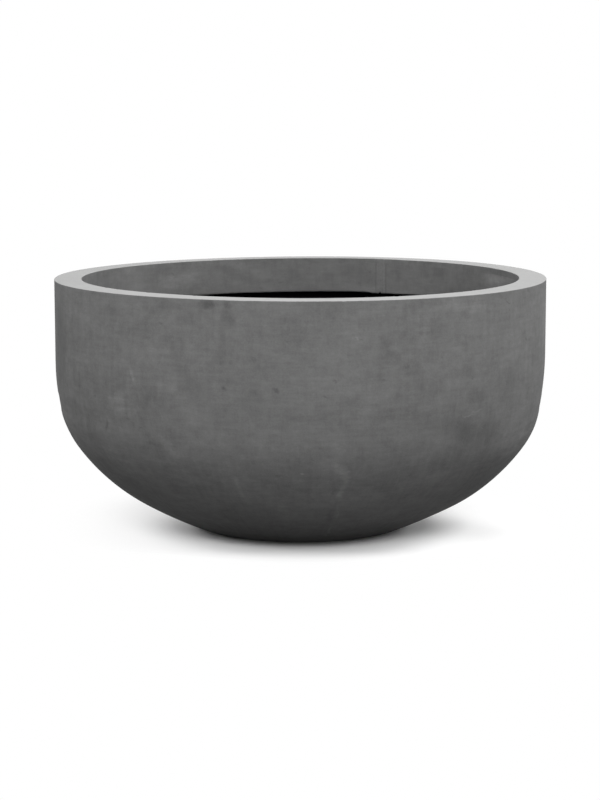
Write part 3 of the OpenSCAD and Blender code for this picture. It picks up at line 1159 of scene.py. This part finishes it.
def cement_finish(name, colours, marks=(), face=outside_at, trowel=1.0, fine=1.0, seam=False, lapped=False):
    """Moulded fibre cement; the rim's level top is painted paler, as if lit from above, with a rubbed
    pattern.
    trowel and fine are the strengths of the tool marks and of the small patterns; lapped lays the black coat
    over the back and under the edge."""
    finish = new_material(name)
    place = finish.place()
    height, radius, around = finish.parts(place)
    upward = finish.along("Z", finish.node("NewGeometry").outputs["Normal"])
    fields = CementFields(finish, place, around)
    shade = fields.shade(trowel, fine)
    if marks:
        patches = sum((finish.mark(fields.moved, mark, face) for mark in marks), 0.0)
        shade = shade + patches * (0.95 + fields.mottle * 0.7 + fields.level * 0.7)
    if seam:
        # Painted highlight: faces turned down, along the lower edges of the band and the strip, are made
        # paler
        shade = shade + seam_lines(finish, place, height) + finish.fall(upward, -0.60, -0.05) * 0.35
    wall_colour = finish.tone(shade, colours.cement, 0.55)
    # Painted light: the rim's level top gets a much paler grey than the wall, as if lit from above
    rim_colour_painted_light = finish.tone(fields.rubbed(), colours.rim, 0.22)
    level_face = finish.step(upward + fields.speckle * 0.2, 0.35, 0.75)
    rim_top_painted_light = level_face * finish.step(height, SHELL_HIGH.z - 0.012, SHELL_HIGH.z - 0.007)
    colour = finish.blend(rim_top_painted_light, wall_colour, rim_colour_painted_light)
    roughness = 0.84 + fields.blotch * 0.06 + fields.grain * 0.05 - fields.scuffs * 0.08
    if lapped:
        lap = radius + finish.field(place, 0.02, 3, 0.6, (4, 4, 9)) * 0.0006
        behind = finish.step(lap, BAND_HIGH.x - 0.0060, BAND_HIGH.x - 0.0052)
        colour = finish.blend(behind, colour, (*colours.coat, 1.0))
        roughness = roughness - behind * 0.25
    return finish.surface(Base_Color=colour, Roughness=roughness, Normal=finish.relief(fields.height()),
                          Specular_IOR_Level=0.06)


def coat_finish(colours):
    """Black sealing coat laid on with a brush over chopped glass strand. Its sheen fades out upwards."""
    finish = new_material("Black coat")
    place = finish.place()
    height, radius, around = finish.parts(place)
    level_strokes = finish.field(around, (0.10, 0.10, 0.0035), 3, 0.65)
    bottom_strokes = finish.field(place, (0.08, 0.0045, 0.08), 3, 0.65, (5, 2, 2), 0.3)
    on_bottom = finish.fall(height, 0.024, 0.040)
    strokes = level_strokes + (bottom_strokes - level_strokes) * on_bottom
    pools = finish.field(place, 0.05, 3, 0.5, (2, 2, 6))
    strand = finish.field(place, (0.0012, 0.009, 0.0025), 2, 0.5, (7, 1, 1), 1.2)
    weave = finish.field(place, (0.009, 0.0012, 0.0025), 2, 0.5, (1, 7, 3), 1.2)
    # The coat's near-zero black is partly painted shade inside the bowl
    colour = finish.tone(strokes * 0.4 + pools * 0.6, colours.coat, 0.35)
    roughness = 0.50 + pools * 0.10 + strokes * 0.06
    low_down = finish.fall(height + pools * 0.04, 0.18, 0.31)
    sheen = low_down * (0.55 + pools * 0.25 + strokes * 0.20)
    relief = finish.relief(strokes * 0.12 + strand * 0.08 + weave * 0.08)
    return finish.surface(Base_Color=colour, Roughness=roughness, Normal=relief, Specular_IOR_Level=0.03,
                          Coat_Weight=sheen, Coat_Roughness=0.34, Coat_IOR=1.42)


def rubber_finish(colours):
    """Moulded black rubber with a fine matt grain and a little dust."""
    finish = new_material("Stopper rubber")
    place = finish.place()
    grain = finish.field(place, 0.0006, 2, 0.5)
    smear = finish.field(place, (0.008, 0.008, 0.005), 3, 0.6, (3, 3, 3))
    dust = finish.step(smear + grain * 0.3, 0.1, 0.8)
    colour = finish.blend(dust * 0.35, (*colours.rubber, 1.0), (*colours.dust, 1.0))
    relief = finish.relief(grain * 0.02 + smear * 0.03)
    return finish.surface(Base_Color=colour, Roughness=0.55 + smear * 0.08 + dust * 0.12, Normal=relief,
                          Specular_IOR_Level=0.30)


# The studio

def seen_directly(finish):
    """1 for what the camera, a gloss or clear material sees, 0 for light that spreads."""
    path = finish.node("LightPath")
    kinds = ("Is Camera Ray", "Is Glossy Ray", "Is Transmission Ray")
    camera, glossy, clear = (Wire(finish, path.outputs[kind]) for kind in kinds)
    return finish.wire("Clamp", None, {"Value": camera + glossy + clear})


def floor_finish(studio):
    """A pale floor that keeps the bowl's shadow, reshaped by painted light and painted shadow, and runs out
    into plain white. Under the foot it gives light, so that views from below show it, and from below the
    floor itself is clear."""
    finish = new_material("Studio floor")
    place = finish.place()
    away = finish.measure("LENGTH", place)
    # Painted light: white glow mixed in makes the shadow fade out from the foot and from two points near it;
    # painted shadow keeps it longer to the right
    front = finish.measure("DISTANCE", place, (0, -0.06, 0))
    aside = finish.measure("DISTANCE", place, (0.03, -0.10, 0))
    painted_side_shadow = finish.fall(finish.measure("DISTANCE", place, (0.315, -0.095, 0)), 0.01, 0.17)
    painted_light_lift = finish.step(front, 0.172, 0.215) * 0.17 + finish.step(aside, 0.215, 0.36) * 0.40
    painted_light_lift = painted_light_lift + finish.step(away, 0.31, 0.48) * 0.43
    painted_light_lift = (painted_light_lift + finish.fall(finish.along("Y", place), -0.36, -0.26) * 0.52) * (1 - painted_side_shadow * 0.8)
    # Painted shadow: close to the foot the floor is mixed with black and darker still, and a little darker
    # to the right
    painted_floor_shadow = finish.fall(front, 0.140, 0.185) * 0.72 + painted_side_shadow * 0.18
    pale = finish.shader("BsdfDiffuse", Color=(*studio.floor_white, 1.0))
    near = finish.between(painted_floor_shadow, pale, finish.shader("BsdfDiffuse", Color=PAINTED_SHADOW_BLACK))
    shown = finish.between(painted_light_lift, near, finish.shader("Emission", Color=WHITE, Strength=1.0))
    bounce = finish.shader("BsdfDiffuse", Color=(*studio.floor_bounce, 1.0))
    foot_light = finish.shader("Emission", Color=WHITE, Strength=studio.foot_light)
    bounce = finish.between(finish.fall(away, 0.180, 0.181), bounce, foot_light)
    lit = finish.between(seen_directly(finish), bounce, shown)
    from_below = finish.wire("NewGeometry", None, None, "Backfacing")
    return finish.finished(finish.between(from_below, lit, finish.shader("BsdfTransparent")))


def set_world(studio):
    finish = Finish(bpy.data.worlds.new("Studio"))
    white = finish.shader("Background", Color=WHITE, Strength=1.0)
    soft = finish.shader("Background", Color=WHITE, Strength=studio.ambient)
    shown = finish.between(seen_directly(finish), soft, white)
    bpy.context.scene.world = finish.finished(shown, "OutputWorld")


def add_disc(name, radius, segments):
    theta = TAU * np.arange(segments) / segments
    ring = np.stack([radius * np.cos(theta), radius * np.sin(theta), np.zeros(segments)], axis=1)
    mesh = bpy.data.meshes.new(name)
    mesh.from_pydata(ring.tolist(), [], [list(range(segments))])
    disc = bpy.data.objects.new(name, mesh)
    bpy.context.scene.collection.objects.link(disc)
    return disc


# Name, direction in degrees from +X, height angle in degrees, distance, width, height, watts
LAMPS = [
    ("front_low", -90, 5, 4.0, 2.4, 0.8, 22.5),
    ("front", -90, 25, 4.0, 2.2, 1.2, 68.0),
    ("front_left", -135, 40, 3.8, 1.8, 1.4, 57.0),
    ("front_right_low", -45, 10, 3.8, 1.6, 1.2, 6.4),
    ("front_right", -45, 40, 3.8, 1.6, 1.4, 36.0),
    ("left", 180, 40, 3.6, 1.6, 1.4, 42.9),
    ("right", 0, 40, 3.6, 1.6, 1.4, 82.0),
    ("back_left", 145, 10, 3.6, 1.2, 1.2, 16.5),
    ("back_right", 30, 26, 3.6, 0.8, 1.2, 32.0),
    ("back", 90, 20, 3.6, 2.2, 1.2, 47.8),
]
LAMP_TARGET = Vector((0, 0, 0.25))
FLOOR_R = 6.0


def add_lamp(name, heading, rise, distance, width, height, watts):
    light = bpy.data.lights.new(name, "AREA")
    light.shape = "RECTANGLE"
    light.size = width
    light.size_y = height
    light.energy = watts
    lamp = bpy.data.objects.new(name, light)
    heading, rise = math.radians(heading), math.radians(rise)
    level = Vector((math.cos(heading), math.sin(heading), 0)) * math.cos(rise)
    lamp.location = LAMP_TARGET + distance * (level + Vector((0, 0, math.sin(rise))))
    lamp.rotation_euler = (LAMP_TARGET - lamp.location).to_track_quat("-Z", "Y").to_euler()
    lamp.visible_camera = False
    bpy.context.scene.collection.objects.link(lamp)


def add_camera(studio):
    data = bpy.data.cameras.new("camera")
    data.sensor_fit = "AUTO"
    data.sensor_width = studio.sensor
    data.lens = studio.lens
    camera = bpy.data.objects.new("camera", data)
    camera.location = (studio.camera_side, -studio.camera_back, studio.camera_up)
    camera.rotation_euler = (QUARTER - studio.camera_tilt, 0, 0)
    bpy.context.scene.collection.objects.link(camera)
    bpy.context.scene.camera = camera


# Operators, panel and the run

class PLANTER_OT_stage(Operator):
    """Adds the camera, the pale floor, the lamps and the white surroundings"""
    bl_idname = "planter.stage"
    bl_label = "Studio"

    def execute(self, context):
        studio = settings().studio
        add_camera(studio)
        floor = add_disc("studio_floor", FLOOR_R, 128)
        floor.data.materials.append(floor_finish(studio))
        set_world(studio)
        for lamp in LAMPS:
            add_lamp(*lamp)
        context.scene.view_settings.view_transform = "Standard"
        return {"FINISHED"}


class PLANTER_OT_bowl(Operator):
    """Adds the moulded bowl with its flat rim and foot"""
    bl_idname = "planter.bowl"
    bl_label = "Bowl"

    def execute(self, context):
        build_bowl(settings())
        return {"FINISHED"}


class PLANTER_OT_band(Operator):
    """Adds the band behind the rim's inner edge"""
    bl_idname = "planter.band"
    bl_label = "Rim band"

    def execute(self, context):
        build_band(settings())
        return {"FINISHED"}


class PLANTER_OT_strip(Operator):
    """Adds the trowelled strip over the band's joint"""
    bl_idname = "planter.strip"
    bl_label = "Joint strip"

    def execute(self, context):
        build_strip(settings())
        return {"FINISHED"}


class PLANTER_OT_coat(Operator):
    """Adds the black sealing coat on the inside"""
    bl_idname = "planter.coat"
    bl_label = "Sealing coat"

    def execute(self, context):
        build_coat(settings())
        return {"FINISHED"}


class PLANTER_OT_stopper(Operator):
    """Adds the rubber stopper in the drain hole"""
    bl_idname = "planter.stopper"
    bl_label = "Stopper"

    def execute(self, context):
        build_stopper(settings())
        return {"FINISHED"}


OPERATORS = (PLANTER_OT_stage, PLANTER_OT_bowl, PLANTER_OT_band, PLANTER_OT_strip, PLANTER_OT_coat,
             PLANTER_OT_stopper)


class PLANTER_PT_panel(Panel):
    """Lists the planter's pieces in the sidebar"""
    bl_idname = "PLANTER_PT_panel"
    bl_label = "Bowl planter"
    bl_space_type = "VIEW_3D"
    bl_region_type = "UI"
    bl_category = "Planter"

    def draw(self, context):
        for operator in OPERATORS:
            self.layout.operator(operator.bl_idname)


CLASSES = (BowlSizes, BandSizes, CoatSizes, StopperSizes, Finishes, Studio, PlanterSettings,
           *OPERATORS, PLANTER_PT_panel)


def register():
    for cls in CLASSES:
        bpy.utils.register_class(cls)
    bpy.types.Scene.bowl_planter = PointerProperty(type=PlanterSettings)


def unregister():
    del bpy.types.Scene.bowl_planter
    for cls in reversed(CLASSES):
        bpy.utils.unregister_class(cls)


def main():
    register()
    bpy.ops.planter.stage()
    bpy.ops.planter.bowl()
    bpy.ops.planter.band()
    bpy.ops.planter.strip()
    bpy.ops.planter.coat()
    bpy.ops.planter.stopper()


if __name__ == "__main__":
    main()
